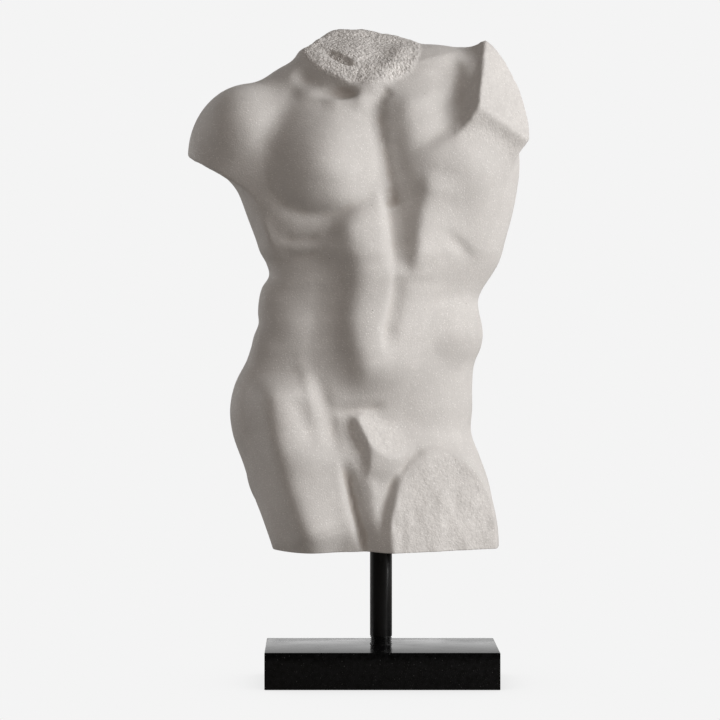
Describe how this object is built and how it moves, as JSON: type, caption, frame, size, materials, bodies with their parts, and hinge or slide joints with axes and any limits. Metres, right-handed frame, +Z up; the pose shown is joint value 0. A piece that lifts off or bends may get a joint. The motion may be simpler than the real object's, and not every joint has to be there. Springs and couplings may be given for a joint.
{
  "type": "resin torso sculpture",
  "caption": "Male torso fragment cast in sugary grey-beige resin, headless and limbless with rough breaks, held by a black threaded steel rod over a black oblong plinth.",
  "frame": {"origin": "on the plinth's underside, on the rod's axis", "axes": "+Z up along the rod, -Y towards the viewer (the torso's front), +X to the viewer's right"},
  "size_m": [0.3414, 0.1827, 0.6554],
  "materials": {
    "resin": "matt sugary grain",
    "rod": "satin black",
    "plinth": "polished black"
  },
  "bodies": {
    "root": {"torso": "resin", "rod": "rod", "plinth": "plinth"}
  },
  "joints": []
}
